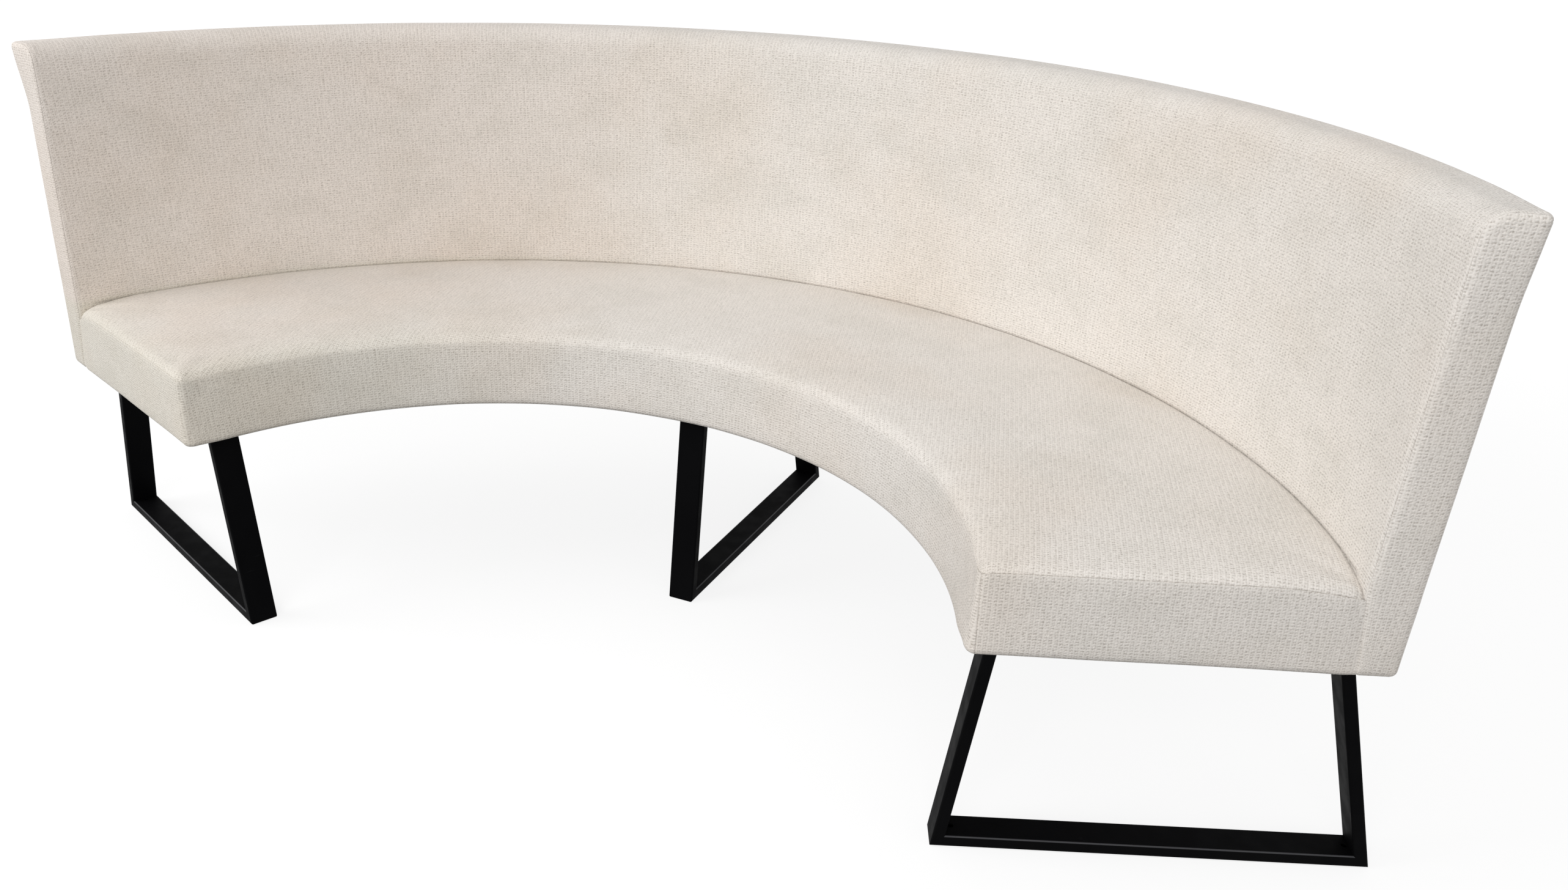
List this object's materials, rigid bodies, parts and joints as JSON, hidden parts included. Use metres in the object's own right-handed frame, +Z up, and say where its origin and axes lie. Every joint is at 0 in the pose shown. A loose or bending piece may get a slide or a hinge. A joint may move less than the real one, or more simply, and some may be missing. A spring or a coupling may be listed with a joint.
{
  "type": "curved banquette bench",
  "caption": "Curved upholstered banquette bench with a padded seat and a high bent back on three black steel trapezoid leg frames.",
  "frame": {"origin": "on the floor, at the middle of the bench's outline seen from above", "axes": "+Z up, +X to the sitter's left along the bench's longest side, -Y out of the open side of the curve"},
  "size_m": [2.3682, 1.0796, 0.926],
  "materials": {
    "upholstery_fabric": "woven basket cloth",
    "foam": "open-cell foam",
    "plywood": "raw plywood",
    "underlining_felt": "non-woven felt",
    "black_steel": "satin powder coat",
    "zinc_steel": "zinc plated",
    "glide_plastic": "moulded nylon"
  },
  "bodies": {
    "root": {"seat_top_cover": "upholstery_fabric", "seat_front_band": "upholstery_fabric", "seat_end_band_left": "upholstery_fabric", "seat_end_band_right": "upholstery_fabric", "back_front_cover": "upholstery_fabric", "back_rear_cover": "upholstery_fabric", "back_end_cover_left": "upholstery_fabric", "back_end_cover_right": "upholstery_fabric", "seat_foam": "foam", "seat_front_padding": "foam", "seat_end_padding_left": "foam", "seat_end_padding_right": "foam", "back_foam": "foam", "back_rear_padding": "foam", "back_end_padding_left": "foam", "back_end_padding_right": "foam", "seat_base_board": "plywood", "seat_deck": "plywood", "seat_front_rail": "plywood", "seat_rear_rail": "plywood", "seat_ribs": "plywood", "seat_end_rib_left": "plywood", "seat_end_rib_right": "plywood", "back_front_skin": "plywood", "back_rear_skin": "plywood", "back_bottom_rail": "plywood", "back_top_rail": "plywood", "back_ribs": "plywood", "back_end_post_left": "plywood", "back_end_post_right": "plywood", "seat_underlining": "underlining_felt", "back_underlining": "underlining_felt", "leg_left_front_upright": "black_steel", "leg_left_rear_upright": "black_steel", "leg_left_floor_bar": "black_steel", "leg_left_top_plate": "black_steel", "leg_middle_front_upright": "black_steel", "leg_middle_rear_upright": "black_steel", "leg_middle_floor_bar": "black_steel", "leg_middle_top_plate": "black_steel", "leg_right_front_upright": "black_steel", "leg_right_rear_upright": "black_steel", "leg_right_floor_bar": "black_steel", "leg_right_top_plate": "black_steel", "joining_plates": "zinc_steel", "plate_bolts": "zinc_steel", "tee_nuts": "zinc_steel", "floor_glides": "glide_plastic"}
  },
  "joints": []
}
